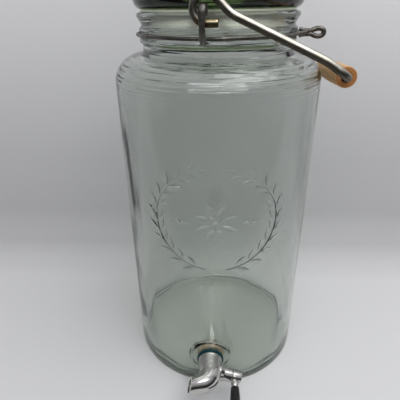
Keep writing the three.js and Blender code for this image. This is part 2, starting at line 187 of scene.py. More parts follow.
def lathe(profile, segments):
    """Turns (radius, height) points round Z. The profile runs from axis to axis or closes on itself."""
    verts, faces, rings = [], [], []
    closes = math.dist(profile[0], profile[-1]) < 1e-6
    for r, z in profile[:-1] if closes else profile:
        if r < 1e-5:
            rings.append([len(verts)])
            verts.append((0.0, 0.0, z))
            continue
        rings.append(list(range(len(verts), len(verts) + segments)))
        for k in range(segments):
            angle = 2 * math.pi * k / segments
            verts.append((r * math.cos(angle), r * math.sin(angle), z))
    pairs = list(zip(rings, rings[1:]))
    if closes:
        pairs.append((rings[-1], rings[0]))
    for low, high in pairs:
        for k in range(segments):
            n = (k + 1) % segments
            if len(low) == 1 and len(high) == 1:
                continue
            if len(low) == 1:
                faces.append((low[0], high[n], high[k]))
            elif len(high) == 1:
                faces.append((low[k], low[n], high[0]))
            else:
                faces.append((low[k], low[n], high[n], high[k]))
    return verts, faces


def tube(points, radius, sides, ring=False, bevel=0.5, flat=1.0):
    """A wire or hose along points. radius is a number or one per point; flat narrows the section."""
    pts = np.array(points, float)
    count = len(pts)
    radii = np.full(count, radius, float) if np.isscalar(radius) else np.array(radius, float)
    if ring:
        tangents = np.roll(pts, -1, 0) - np.roll(pts, 1, 0)
    else:
        tangents = np.gradient(pts, axis=0)
    tangents /= np.linalg.norm(tangents, axis=1)[:, None]
    first = np.cross(tangents[0], (0.0, 0.0, 1.0))
    if np.linalg.norm(first) < 0.1:
        first = np.cross(tangents[0], (0.0, 1.0, 0.0))
    normals = [first / np.linalg.norm(first)]
    for i in range(1, count):
        n = normals[-1] - tangents[i] * np.dot(normals[-1], tangents[i])
        normals.append(n / np.linalg.norm(n))
    twist = 0.0
    if ring:
        n = normals[-1] - tangents[0] * np.dot(normals[-1], tangents[0])
        n /= np.linalg.norm(n)
        across = np.cross(tangents[0], normals[0])
        twist = math.atan2(np.dot(n, across), np.dot(n, normals[0]))
    stations = [(pts[i], tangents[i], normals[i], radii[i], i / count) for i in range(count)]
    if not ring and bevel > 0:
        inset = min(bevel, radii[0] * 0.5)
        inset_end = min(bevel, radii[-1] * 0.5)
        for t in (0.5, 1.0):
            ahead, narrow = math.sin(t * math.pi / 2), math.cos(t * math.pi / 2)
            place = pts[0] - tangents[0] * (inset * ahead)
            r = radii[0] - inset + inset * narrow
            stations.insert(0, (place, tangents[0], normals[0], r, 0))
            place = pts[-1] + tangents[-1] * (inset_end * ahead)
            r = radii[-1] - inset_end + inset_end * narrow
            stations.append((place, tangents[-1], normals[-1], r, 1))
    verts, faces = [], []
    for place, tangent, normal, r, share in stations:
        across = np.cross(tangent, normal)
        for k in range(sides):
            angle = 2 * math.pi * k / sides - twist * share
            verts.append(place + r * (math.cos(angle) * normal + flat * math.sin(angle) * across))
    total = len(stations)
    for i in range(total if ring else total - 1):
        a, b = i * sides, ((i + 1) % total) * sides
        for k in range(sides):
            n = (k + 1) % sides
            faces.append((a + k, a + n, b + n, b + k))
    if not ring:
        faces.append(tuple(range(sides - 1, -1, -1)))
        faces.append(tuple(range((total - 1) * sides, total * sides)))
    return verts, faces


def merged(*shapes):
    """Several (verts, faces) shapes as one."""
    verts, faces = [], []
    for v, f in shapes:
        base = len(verts)
        verts.extend(v)
        faces.extend(tuple(i + base for i in face) for face in f)
    return verts, faces


def moved(shape, matrix):
    verts, faces = shape
    return [tuple(matrix @ Vector(v)) for v in verts], faces


def box(xs, ys, zs):
    """A box between two values on each axis."""
    verts = [(x, y, z) for x in xs for y in ys for z in zs]
    return verts, [(0, 1, 3, 2), (4, 6, 7, 5), (0, 4, 5, 1), (2, 3, 7, 6), (0, 2, 6, 4), (1, 5, 7, 3)]


def put(obj, frame_matrix):
    placed = frame_matrix.copy()
    placed.translation = placed.translation * MM
    obj.matrix_world = placed


def make(name, shape, frame_matrix=None):
    """An object from a shape in millimetres, with outward faces. Its mesh keeps the local frame."""
    verts, faces = shape
    mesh = bpy.data.meshes.new(name)
    mesh.from_pydata([tuple(c * MM for c in v) for v in verts], [], [tuple(f) for f in faces])
    work = bmesh.new()
    work.from_mesh(mesh)
    bmesh.ops.recalc_face_normals(work, faces=work.faces)
    work.to_mesh(mesh)
    work.free()
    obj = bpy.data.objects.new(name, mesh)
    bpy.context.scene.collection.objects.link(obj)
    if frame_matrix is not None:
        put(obj, frame_matrix)
    return obj


def combine(target, tool, operation):
    """A boolean of two objects, applied to the first. The second is deleted."""
    modifier = target.modifiers.new("join", "BOOLEAN")
    modifier.operation = operation
    modifier.solver = "EXACT"
    modifier.object = tool
    bpy.context.view_layer.update()
    graph = bpy.context.evaluated_depsgraph_get()
    mesh = bpy.data.meshes.new_from_object(target.evaluated_get(graph))
    target.modifiers.clear()
    old = target.data
    target.data = mesh
    bpy.data.meshes.remove(old)
    bpy.data.objects.remove(tool)


def finish_piece(obj, body, node, material, sharp=35):
    """Smooth shading with sharp edges, a material, and what the piece stands for."""
    obj.data.polygons.foreach_set("use_smooth", [True] * len(obj.data.polygons))
    obj.data.set_sharp_from_angle(angle=math.radians(sharp))
    obj.data.materials.clear()
    obj.data.materials.append(material)
    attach(obj, body)
    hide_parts(node)


# ---------- materials ----------
GLASS_DENSITY = 40.0
RIDGE_STEP = 3.1
THREAD_STEP = 1.5


class Nodes:
    """A short way to write a material's node tree."""

    def __init__(self, name):
        self.material = bpy.data.materials.new(name)
        self.material.use_nodes = True
        self.tree = self.material.node_tree
        self.tree.nodes.clear()
        self.out = self.tree.nodes.new("ShaderNodeOutputMaterial")

    def add(self, kind, settings=None, **inputs):
        """A new node. Inputs go by name, with _ for a space, or by number as i0, i1 and so on."""
        made = self.tree.nodes.new(kind)
        for key, value in (settings or {}).items():
            setattr(made, key, value)
        for key, value in inputs.items():
            numbered = key[0] == "i" and key[1:].isdigit()
            socket = made.inputs[int(key[1:]) if numbered else key.replace("_", " ")]
            if isinstance(value, bpy.types.NodeSocket):
                self.tree.links.new(value, socket)
            else:
                socket.default_value = value
        return made

    def coordinates(self, scale=(1, 1, 1)):
        where = self.add("ShaderNodeTexCoord").outputs["Object"]
        return self.add("ShaderNodeMapping", Vector=where, Scale=scale).outputs[0]

    def coordinate(self, axis):
        return self.add("ShaderNodeSeparateXYZ", i0=self.coordinates()).outputs[axis]

    def math(self, operation, first, second=0.5, clamp=False):
        settings = {"operation": operation, "use_clamp": clamp}
        return self.add("ShaderNodeMath", settings, i0=first, i1=second).outputs[0]

    def mix(self, factor, first, second, blend="MIX"):
        """A colour socket mixed or multiplied with a fixed colour."""
        settings = {"data_type": "RGBA", "blend_type": blend}
        return self.add("ShaderNodeMix", settings, i0=factor, i6=first, i7=(*second, 1)).outputs[2]

    def noise(self, scale, detail=4.0, rough=0.55, stretch=(1, 1, 1), distortion=0.0):
        return self.add(
            "ShaderNodeTexNoise",
            Vector=self.coordinates(stretch),
            Scale=scale,
            Detail=detail,
            Roughness=rough,
            Distortion=distortion,
        ).outputs["Fac"]

    def ramp(self, factor, *stops):
        made = self.add("ShaderNodeValToRGB", Fac=factor)
        ramp = made.color_ramp
        while len(ramp.elements) < len(stops):
            ramp.elements.new(0.5)
        for element, (place, color) in zip(ramp.elements, stops):
            element.position = place
            element.color = (*color, 1)
        return made.outputs["Color"]

    def between(self, factor, low, high, start=0.3, end=0.7):
        """A number from low to high as factor goes from start to end."""
        return self.add("ShaderNodeMapRange", i0=factor, i1=start, i2=end, i3=low, i4=high).outputs[0]

    def bump(self, height, distance, strength=1.0, after=None):
        inputs = {"Height": height, "Distance": distance, "Strength": strength}
        if after is not None:
            inputs["Normal"] = after
        return self.add("ShaderNodeBump", **inputs).outputs[0]

    def principled(self, color, roughness, normal=None, **more):
        inputs = {"Base Color": color, "Roughness": roughness, **more}
        if normal is not None:
            inputs["Normal"] = normal
        return self.add("ShaderNodeBsdfPrincipled", **inputs).outputs[0]

    def surface(self, shader):
        self.tree.links.new(shader, self.out.inputs["Surface"])
        return self.material


def glass_material(name, tint, absorb, shade, waves):
    """Pressed glass: soft waves, fine pitting, and uneven lines and ridges round the shoulder.

    absorb colours it by its thickness, and shade tints lamp light that has passed through it.
    """
    n = Nodes(name)
    ripple = n.noise(22, 2.0, 0.4, (1, 1, 0.45))
    fine = n.noise(420, 3.0)
    normal = n.bump(ripple, waves * MM, 1.0)
    normal = n.bump(fine, 0.004 * MM, 0.6, normal)
    height = n.coordinate("Z")
    lines = n.noise(60, 1.5, 0.5, (0.25, 0.25, 6.5))
    above = n.between(height, 0.0, 1.0, (SHOULDER_Z - 3) * MM, (SHOULDER_Z + 6) * MM)
    normal = n.bump(n.math("MULTIPLY", lines, above), 0.25 * MM, 1.0, normal)
    wave = n.math("SINE", n.math("MULTIPLY", height, 2 * math.pi / (RIDGE_STEP * MM)))
    band = n.math(
        "MULTIPLY",
        n.between(height, 0.0, 1.0, (SHOULDER_Z - 8) * MM, (SHOULDER_Z - 2) * MM),
        n.between(height, 1.0, 0.0, (SHOULDER_Z + 14) * MM, (SHOULDER_Z + 20) * MM),
    )
    normal = n.bump(n.math("MULTIPLY", wave, band), 0.055 * MM, 1.0, normal)
    smear = n.noise(35, 5.0, 0.6, distortion=0.4)
    body = n.principled(
        n.ramp(smear, (0.3, tint), (0.75, tuple(min(1, c * 1.03) for c in tint))),
        n.between(smear, 0.0, 0.035, 0.45, 0.8),
        normal,
        IOR=1.5,
        Transmission_Weight=1.0,
    )
    through = n.add("ShaderNodeBsdfTransparent", Color=(*shade, 1)).outputs[0]
    from_lamp = n.add("ShaderNodeLightPath").outputs["Is Shadow Ray"]
    mixed = n.add("ShaderNodeMixShader", i0=from_lamp, i1=body, i2=through).outputs[0]
    inside = n.add("ShaderNodeVolumeAbsorption", Color=(*absorb, 1), Density=GLASS_DENSITY)
    n.tree.links.new(inside.outputs[0], n.out.inputs["Volume"])
    return n.surface(mixed)


def metal_material(name, dark, light, rough_low, rough_high, bump=0.01, scale=90):
    n = Nodes(name)
    cloud = n.noise(scale, 5.0, 0.6)
    streak = n.noise(scale * 6, 3.0, 0.5)
    return n.surface(n.principled(
        n.ramp(cloud, (0.32, dark), (0.68, light)),
        n.between(streak, rough_low, rough_high),
        n.bump(streak, bump * MM, 0.6),
        Metallic=1.0,
    ))


def bail_material():
    """Satin zinc wire with painted shade: darker where its surface faces down, and brassy at its cut ends."""
    n = Nodes("satin_steel_drawn")
    cloud = n.noise(70, 5.0, 0.6)
    streak = n.noise(500, 3.0, 0.5, (1, 1, 0.3))
    normal = n.add("ShaderNodeTexCoord").outputs["Normal"]
    facing_up = n.add("ShaderNodeSeparateXYZ", i0=normal).outputs["Z"]
    steel_tone = n.ramp(cloud, (0.32, (0.36, 0.345, 0.3)), (0.68, (0.52, 0.5, 0.44)))
    # Painted shade: the wire's colour is darkened where its surface faces down.
    painted_underside_shade = n.mix(n.between(facing_up, 1.0, 0.0, -0.5, 0.55), steel_tone, (0.1, 0.088, 0.066))
    near_end = n.math(
        "MULTIPLY",
        n.between(n.coordinate("X"), 1.0, 0.0, (EYE_X + 10) * MM, (EYE_X + 12) * MM),
        n.between(n.coordinate("Z"), 1.0, 0.0, (EYE_Z - 7) * MM, (EYE_Z - 5) * MM),
    )
    return n.surface(n.principled(
        n.mix(near_end, painted_underside_shade, (0.85, 0.76, 0.55), "MULTIPLY"),
        n.between(streak, 0.27, 0.42),
        n.bump(streak, 0.02 * MM, 0.6),
        Metallic=1.0,
    ))


def casting_material():
    """Steel, polished on the spout, satin on the barrel, with a rough thread on the stem in the glass."""
    n = Nodes("polished_steel_cast")
    cloud = n.noise(60, 5.0, 0.6)
    fine = n.noise(360, 3.0)
    depth = n.coordinate("Z")
    threaded = n.between(depth, 1.0, 0.0, -0.5 * MM, 0.5 * MM)
    wave = n.math("SINE", n.math("MULTIPLY", depth, 2 * math.pi / (THREAD_STEP * MM)))
    thread = n.math("MULTIPLY", wave, threaded)
    polish = n.between(depth, 0.3, 0.1, 12 * MM, 24 * MM)
    clean = n.math("ADD", polish, n.between(fine, -0.02, 0.05))
    rough = n.add("ShaderNodeMix", {"data_type": "FLOAT"}, i0=threaded, i2=clean, i3=0.5).outputs[0]
    tone = n.ramp(cloud, (0.32, (0.56, 0.55, 0.53)), (0.68, (0.66, 0.65, 0.63)))
    return n.surface(n.principled(
        n.mix(threaded, tone, (0.27, 0.245, 0.22)),
        rough,
        n.bump(thread, 0.3 * MM, 1.0, n.bump(fine, 0.006 * MM, 0.6)),
        Metallic=1.0,
    ))


def weathered_material():
    """Old dark wire with spots of rust."""
    n = Nodes("dark_wire_weathered")
    cloud = n.noise(140, 6.0, 0.65)
    spots = n.noise(420, 4.0, 0.6)
    base = n.ramp(
        cloud, (0.3, (0.06, 0.054, 0.047)), (0.52, (0.135, 0.127, 0.118)), (0.72, (0.25, 0.235, 0.21))
    )
    rust = n.ramp(spots, (0.55, (0, 0, 0)), (0.7, (1, 1, 1)))
    return n.surface(n.principled(
        n.mix(n.between(rust, 0.0, 0.55, 0.0, 1.0), base, (0.13, 0.085, 0.048)),
        n.between(cloud, 0.5, 0.3),
        n.bump(spots, 0.06 * MM, 0.8),
        Metallic=0.85,
    ))


def wood_material():
    """Oiled wood with its grain along the grip, darker on the end grain."""
    n = Nodes("grip_wood_oiled")
    figure = n.noise(42, 4.0, 0.6, (1, 1, 0.12), distortion=0.8)
    pores = n.noise(700, 3.0, 0.6, (1, 1, 0.05))
    base = n.ramp(
        figure,
        (0.28, (0.38, 0.185, 0.06)),
        (0.45, (0.6, 0.34, 0.13)),
        (0.6, (0.7, 0.43, 0.19)),
        (0.78, (0.5, 0.26, 0.09)),
    )
    pored = n.mix(n.between(pores, 0.55, 0.0, 0.3, 0.5), base, (0.62, 0.5, 0.38), "MULTIPLY")
    end_at = GRIP_LENGTH / 2 * MM
    at_end = n.between(n.math("ABSOLUTE", n.coordinate("Z")), 0.0, 1.0, end_at - 0.9 * MM, end_at - 0.3 * MM)
    return n.surface(n.principled(
        n.mix(at_end, pored, (0.55, 0.38, 0.22), "MULTIPLY"),
        n.between(pores, 0.62, 0.42),
        n.bump(pores, 0.05 * MM, 0.7, n.bump(figure, 0.12 * MM, 0.5)),
    ))


def rubber_material(name, dark, light, rough, shine=0.5):
    n = Nodes(name)
    cloud = n.noise(160, 4.0)
    fine = n.noise(1500, 2.0)
    return n.surface(n.principled(
        n.ramp(cloud, (0.3, dark), (0.7, light)),
        n.between(fine, rough - 0.08, rough + 0.08),
        n.bump(fine, 0.02 * MM, 0.5),
        Specular_IOR_Level=shine,
    ))


CLEAR_GLASS = glass_material(
    "clear_glass_pressed", (0.975, 0.985, 0.97), (0.24, 0.34, 0.26), (0.74, 0.75, 0.73), 0.14
)
GREEN_GLASS = glass_material(
    "green_glass_pressed", (0.34, 0.42, 0.24), (0.25, 0.4, 0.15), (0.2, 0.26, 0.16), 0.25
)
DARK_WIRE = weathered_material()
SATIN_STEEL = bail_material()
NUT_STEEL = metal_material("nut_steel_turned", (0.46, 0.4, 0.33), (0.6, 0.53, 0.45), 0.3, 0.45)
CASTING = casting_material()
POLISHED = metal_material(
    "polished_steel_turned", (0.56, 0.55, 0.53), (0.66, 0.65, 0.63), 0.09, 0.17, 0.006, 60
)
WOOD = wood_material()
PALE_SILICONE = rubber_material("pale_silicone_matt", (0.86, 0.84, 0.75), (0.93, 0.91, 0.83), 0.45)
AGED_SILICONE = rubber_material("aged_silicone_matt", (0.36, 0.28, 0.2), (0.5, 0.41, 0.31), 0.5)
TEAL_SILICONE = rubber_material(
    "teal_silicone_satin", (0.002, 0.028, 0.034), (0.004, 0.046, 0.055), 0.35, 0.2
)
BLACK_PLASTIC = rubber_material(
    "black_plastic_satin", (0.005, 0.005, 0.006), (0.012, 0.012, 0.013), 0.3, 0.35
)
BLACK_RUBBER = rubber_material("black_rubber_matt", (0.01, 0.01, 0.01), (0.02, 0.02, 0.02), 0.6)


# ---------- jar ----------
def jar_profile():
    outside = [
        (0, BASE_HOLLOW, 0),
        (70, BASE_HOLLOW, 20),
        (88, 0.0, 12),
        (BODY_R, 0.0, HEEL_R),
        *arc(SHOULDER_IN_R, SHOULDER_Z, BODY_R - SHOULDER_IN_R, SHOULDER_TOP_Z - SHOULDER_Z, 0, 90, 22),
        (SHOULDER_IN_R - 0.2, SHOULDER_TOP_Z, 1.5),
        (NECK_R, SHOULDER_TOP_Z + 3.4, 2),
        (NECK_R, 359.6, 1.4),
        (BEAD_R, 361.4, 1),
        (BEAD_R, 363.8, 1),
        (GROOVE_R, 365.6, 0.8),
        (GROOVE_R, 370.2, 0.6),
        (BEAD_R, 371.2, 0.6),
        (BEAD_R, 373.2, 0.9),
        (NECK_R, 375.6, 1.6),
        (RIM_R, 383, 1.4),
        (RIM_R, 384.6, 0.8),
        (RIM_R - 1.8, RIM_Z, 1.2),
    ]
    inside = [
        (68.8, RIM_Z, 1.2),
        (MOUTH_R, RIM_Z - 1.8, 1.2),
        (MOUTH_R, SHOULDER_TOP_Z - 0.5, 3),
        *arc(69, SHOULDER_Z - 2, 26.3, 20.6, 90, 0, 18),
        (INNER_R, BASE_THICK, 5),
        (60, BASE_THICK, 30),
        (0, BASE_THICK + 1.2, 0),
    ]
    return spaced(rounded(outside + inside, 6), 7.0)


def round_noise(angle, closeness, height):
    """Smooth noise from -1 to 1 that joins up with itself round the jar."""
    return noise.noise(Vector((closeness * math.cos(angle), closeness * math.sin(angle), height)))


def wavy(verts):
    """Pressed glass is uneven inside: its wall swells in soft waves, and its floor's edge wanders."""
    wall_low, wall_high, floor_edge_r = 12, 344, 55
    result = []
    for x, y, z in verts:
        r, a = math.hypot(x, y), math.atan2(y, x)
        if MOUTH_R + 0.5 < r < INNER_R + 0.9 and wall_low < z < wall_high:
            fade = min(1.0, (z - wall_low) / 30) * min(1.0, (wall_high - z) / 20)
            broad = round_noise(a, 2.2, z / 90)
            streak = round_noise(a, 7, z / 260 + 9)
            ripple = round_noise(a, 4, z / 42 + 20)
            swell = fade * (0.7 * broad + 0.2 * streak + 0.28 * ripple)
            x, y = x * (1 + swell / r), y * (1 + swell / r)
        elif BASE_THICK - 0.1 < z <= wall_low and floor_edge_r < r < INNER_R + 0.7:
            pull = 1.6 + 2.6 * round_noise(a, 2.6, 4) + 1.0 * round_noise(a, 6, 7)
            pull *= min(1.0, (wall_low - z) / 5) * min(1.0, (r - floor_edge_r) / 30)
            x, y = x * (1 - max(pull, 0) / r), y * (1 - max(pull, 0) / r)
        result.append((x, y, z))
    return result


def facing_out(profile, segments=64):
    """A turned shape whose axis points out of the jar through the tap's centre."""
    turned = Matrix.Translation((TAP_X, 0, TAP_Z)) @ Matrix.Rotation(math.pi / 2, 4, "X")
    return moved(lathe(profile, segments), turned)


def on_wall(across, up, out):
    """A point on the jar's front, from its arc length, height and height above the glass."""
    angle = across / BODY_R
    r = BODY_R + out
    return (r * math.sin(angle), -r * math.cos(angle), up)


def leaf(across, up, angle, length, width, height=1.0):
    """A raised leaf on the jar's front, half sunk in the glass."""
    verts, faces = [], []
    rings, sides = 9, 12
    cos, sin = math.cos(angle), math.sin(angle)
    for i in range(1, rings):
        s = -1 + 2 * i / rings
        swell = (1 - s * s) ** 0.75 * (1 - 0.18 * s)
        for k in range(sides):
            t = 2 * math.pi * k / sides
            along, aside = s * length / 2, swell * width / 2 * math.cos(t)
            out = swell * height * math.sin(t) - 0.05
            verts.append(on_wall(across + along * cos - aside * sin, up + along * sin + aside * cos, out))
    for i in range(rings - 2):
        for k in range(sides):
            n = (k + 1) % sides
            a, b = i * sides, (i + 1) * sides
            faces.append((a + k, a + n, b + n, b + k))
    for s, ring in ((-1, 0), (1, rings - 2)):
        tip = len(verts)
        verts.append(on_wall(across + s * length / 2 * cos, up + s * length / 2 * sin, -0.05))
        for k in range(sides):
            faces.append((ring * sides + k, ring * sides + (k + 1) % sides, tip))
    return verts, faces


def wreath():
    """A plain raised wreath of leaves on the jar's front, with a small flower inside it."""
    centre, wide, tall, reach = 214.0, 60.0, 52.0, 9.5
    parts = []
    for side in (-1, 1):
        stem = []
        for k in range(41):
            a = math.radians(-80 + 148 * k / 40)
            stem.append(on_wall(side * wide * math.cos(a), centre + tall * math.sin(a), -0.1))
        parts.append(tube(stem, 0.9, 10, bevel=0.4))
        for k in range(11):
            a = math.radians(-72 + 136 * k / 10)
            x, z = side * wide * math.cos(a), centre + tall * math.sin(a)
            run = math.atan2(tall * math.cos(a), -side * wide * math.sin(a))
            for lean in (0.62, -0.62):
                way = run + lean * side
                parts.append(leaf(x + reach * math.cos(way), z + reach * math.sin(way), way, 13.5, 5.4))
        a = math.radians(72)
        way = math.atan2(tall * math.cos(a), -side * wide * math.sin(a))
        x, z = side * wide * math.cos(a), centre + tall * math.sin(a)
        parts.append(leaf(x + 6 * math.cos(way), z + 6 * math.sin(way), way, 11, 5))
    for k in range(8):
        a = 2 * math.pi * (k + 0.5) / 8
        parts.append(leaf(13 * math.cos(a), centre + 13 * math.sin(a), a, 15, 6.4, 1.1))
    parts.append(leaf(0, centre, 0, 7, 7, 1.2))
    for side in (-1, 1):
        for k in range(3):
            parts.append(leaf(side * (28 + 7.5 * k), centre, 0, 5.5 - k, 4.2 - 0.8 * k, 0.9))
    return merged(*parts)


def build_jar():
    verts, faces = lathe(jar_profile(), 144)
    jar = make("jar_glass", (wavy(verts), faces))
    pad = facing_out(rounded([
        (0, SEAT_FACE + 1, 0), (PAD_R - 0.8, SEAT_FACE + 1, 0), (PAD_FACE_R, PAD_FACE, 1.6), (0, PAD_FACE, 0),
    ]))
    combine(jar, make("pad", pad), "UNION")
    seat = facing_out(rounded([
        (0, SEAT_FACE - 12, 0), (SEAT_R, SEAT_FACE - 12, 0), (SEAT_R, SEAT_FACE, 2.4), (0, SEAT_FACE, 0),
    ]))
    combine(jar, make("seat", seat), "DIFFERENCE")
    hole_from, hole_to = SEAT_FACE - 6, PAD_FACE + 6
    hole = facing_out([(0, hole_from), (TAP_HOLE_R, hole_from), (TAP_HOLE_R, hole_to), (0, hole_to)])
    combine(jar, make("hole", hole), "DIFFERENCE")
    combine(jar, make("wreath", wreath()), "UNION")
    finish_piece(jar, "jar", "glass_jar", CLEAR_GLASS, 32)


# ---------- lid and gasket ----------
def build_lid():
    seat = LID_SEAT_Z
    profile = rounded([
        (0, seat + 9.5, 0),
        (53.5, seat + 9, 6),
        (LID_PLUG_IN_R, seat + 4, 3),
        (LID_PLUG_IN_R, seat - LID_PLUG_DEPTH, 1),
        (LID_PLUG_R, seat - LID_PLUG_DEPTH, 1),
        (LID_PLUG_R, seat, 1),
        (71, seat, 0),
        *arc(71, seat + 8, LID_R - 71, 8, -75, 0, 8),
        (LID_R, 400, 0),
        *arc(LID_R - 6, 403, 6, 6, 0, 70, 8),
        (56, 412.5, 20),
        (30, 417, 20),
        (14, 419, 3),
        (12, 423, 3),
        *arc(0, 433, 20, LID_TOP_Z - 433, -25, 90, 18),
    ], 5)
    profile[-1] = (0.0, profile[-1][1])
    lid = make("lid_glass", lathe(spaced(profile, 8.0), 120))
    finish_piece(lid, "lid", "glass_lid", GREEN_GLASS)
    low, high = RIM_Z + GAP, RIM_Z + GAP + 1.5
    ring = rounded([
        (69, low, 0), (72, low, 0.45), (72, high, 0.45), (64.9, high, 0.45), (64.9, SKIRT_Z, 0.4),
        (66.4, SKIRT_Z, 0.4), (66.4, low, 0.3), (69, low, 0),
    ], 4)
    gasket = make("lid_seal", lathe(spaced(ring, 2.0), 120))
    finish_piece(gasket, "lid", "lid_gasket", PALE_SILICONE)


# ---------- wire set ----------
def bezier(a, b, c, steps):
    return [(1 - t) ** 2 * a + 2 * t * (1 - t) * b + t * t * c for t in np.linspace(0, 1, steps)]


def run(points, reaches, steps=10):
    """A path through points with its corners rounded over their reaches."""
    pts = [np.array(p, float) for p in points]
    path = [pts[0]]
    for i in range(1, len(pts) - 1):
        before = (pts[i] - pts[i - 1]) / np.linalg.norm(pts[i] - pts[i - 1])
        after = (pts[i + 1] - pts[i]) / np.linalg.norm(pts[i + 1] - pts[i])
        path += bezier(pts[i] - before * reaches[i - 1], pts[i], pts[i] + after * reaches[i - 1], steps)
    path.append(pts[-1])
    return path


def even(points, step):
    """The path with its points spaced evenly."""
    pts = np.array(points, float)
    keep = np.concatenate(([True], np.linalg.norm(np.diff(pts, axis=0), axis=1) > 1e-6))
    pts = pts[keep]
    length = np.concatenate(([0], np.cumsum(np.linalg.norm(np.diff(pts, axis=0), axis=1))))
    at = np.linspace(0, length[-1], max(3, int(length[-1] / step)))
    return np.stack([np.interp(at, length, pts[:, k]) for k in range(3)], 1)


def build_neck_wire():
    ring = [
        (RING_R * math.cos(a), RING_R * math.sin(a), RING_Z + 0.12 * math.sin(5 * a))
        for a in np.linspace(0, 2 * math.pi, 160, endpoint=False)
    ]
    parts = [tube(ring, RING_WIRE_R, 14, ring=True)]
    twist, loop_length, loop_half = 9.5, 13.4, 4.3
    path = []
    for t in np.linspace(0, 1, 20):
        spread = 1.45 + 1.5 * (1 - t) ** 2
        path.append((TIE_START + twist * t, 0.5 * math.sin(math.pi * t), RING_Z + spread))
    other = [(x, -y, 2 * RING_Z - z) for x, y, z in path]
    loop = []
    for t in np.linspace(0.06, 0.94, 50):
        angle = 2 * math.pi * t
        along = (1 - math.cos(angle)) / 2
        up = loop_half * math.sin(angle) * along ** 0.45
        loop.append((TIE_START + twist - 1 + loop_length * along, 0, RING_Z + up))
    whole = even(path + loop + other[::-1], 0.55)
    past = np.clip((whole[:, 0] - TIE_START) / (twist + 4), 0, 1)
    parts.append(tube(whole, TIE_WIRE_R + 0.1 + 0.6 * past, 16, bevel=0.3))
    for side in (-1, 1):
        leave = side * math.radians(26)
        start = np.array((RING_R * math.cos(leave), RING_R * math.sin(leave), RING_Z))
        knee = np.array((RING_R + 1.8, side * 13, RING_Z + 0.3))
        end = np.array((TIE_START + twist * 0.8, side * 0.9, RING_Z - side * 0.6))
        parts.append(tube(even(bezier(start, knee, end, 24), 0.8), TIE_WIRE_R, 14, bevel=0.3))
    obj = make("neck_band_wire", merged(*parts), WIRE_FRAME)
    finish_piece(obj, "jar", "neck_wire", DARK_WIRE)


def build_ear(name, side, node):
    low = RING_Z - RING_WIRE_R - EAR_WIRE_R - GAP
    curl_z = EYE_Z + EYE_R - HANDLE_WIRE_R - EAR_WIRE_R - GAP - EAR_CURL_R - 2.6
    flat = run(
        [(RING_R, low), (RING_R + 9, low), (EAR_FRONT, low + 9), (EAR_FRONT, curl_z)], [5, 5]
    )
    curl = [
        np.array((EAR_FRONT - EAR_CURL_R + EAR_CURL_R * math.cos(a), curl_z + EAR_CURL_R * math.sin(a)))
        for a in np.linspace(0.05, math.pi, 24)
    ]
    end = np.array((EAR_FRONT - 2 * EAR_CURL_R, curl_z - 1.0))
    path = even([(0, side * d, z) for d, z in flat + curl + [end]], 0.7)
    waist = 1 - 0.16 * np.exp(-(((path[:, 2] - (low + 13)) / 7) ** 2))
    obj = make(name, tube(path, 2 * EAR_WIRE_R * waist, 24, bevel=1.3, flat=0.5), WIRE_FRAME)
    finish_piece(obj, "jar", node, DARK_WIRE)


def bail_points():
    leave = math.radians(45)
    halves = []
    for side in (-1, 1):
        eye = np.array((EYE_X, side * HANDLE_HALF, EYE_Z))
        drop = 2 * HANDLE_HALF * math.tan(GRIP_SLOPE) if side > 0 else 0
        corner = np.array((CORNER_X, side * HANDLE_HALF, CORNER_Z - drop))
        ring = [
            eye + EYE_R * np.array((math.cos(a), 0, math.sin(a)))
            for a in np.linspace(math.radians(270), leave, 48)
        ]
        knee = corner + np.array((-16.4, 0, 11.3))
        halves.append((eye, ring, eye + np.array((17.9, 0, -3.75)), knee, corner))
    front, rear = halves
    corners = [front[1][-1], front[2], front[3], front[4], rear[4], rear[3], rear[2], rear[1][-1]]
    down = run(corners, [5, 7, 10, 10, 7, 5], 14)
    stub = np.array((8.5, 0, -EYE_R))
    return [front[0] + stub] + front[1] + down[1:-1] + rear[1][::-1] + [rear[0] + stub]


def build_bail():
    obj = make("bail_wire", tube(even(bail_points(), 1.6), HANDLE_WIRE_R, 28, bevel=0.7), WIRE_FRAME)
    finish_piece(obj, "bail", "handle_wire", SATIN_STEEL)


def build_grip():
    half = GRIP_LENGTH / 2
    profile = rounded([
        (3.9, 0, 0),
        (3.9, -half, 0.5),
        (7.4, -half, 0.7),
        (8.2, -half + 1, 1.2),
        (8.6, -half * 0.6, 60),
        (9.2, 0, 200),
        (8.6, half * 0.6, 60),
        (8.2, half - 1, 1.2),
        (7.4, half, 0.7),
        (3.9, half, 0.5),
        (3.9, 0, 0),
    ], 5)
    obj = make("grip_wood", lathe(spaced(profile, 5.0), 56), GRIP_FRAME)
    finish_piece(obj, "grip", "wooden_grip", WOOD, 50)


# ---------- tap ----------
def spout_points(first):
    """The tap's middle line, from height first on its axis, round the elbow and down the spout."""
    centre = np.array((-ELBOW_R, 0, ELBOW_START))
    bend = [
        centre + ELBOW_R * np.array((math.cos(a), 0, math.sin(a))) for a in np.linspace(0, ELBOW_TURN, 26)
    ]
    along = np.array((-math.sin(ELBOW_TURN), 0, math.cos(ELBOW_TURN)))
    return even([np.array((0, 0, first)), *bend, bend[-1] + along * SPOUT_LENGTH], 1.0)


def barrel_radius(t):
    """The casting's radius at share t of its middle line, easing from barrel to spout."""
    s = np.clip((t - 0.3) / 0.55, 0, 1)
    return BARREL_R + (SPOUT_R - BARREL_R) * s * s * (3 - 2 * s)


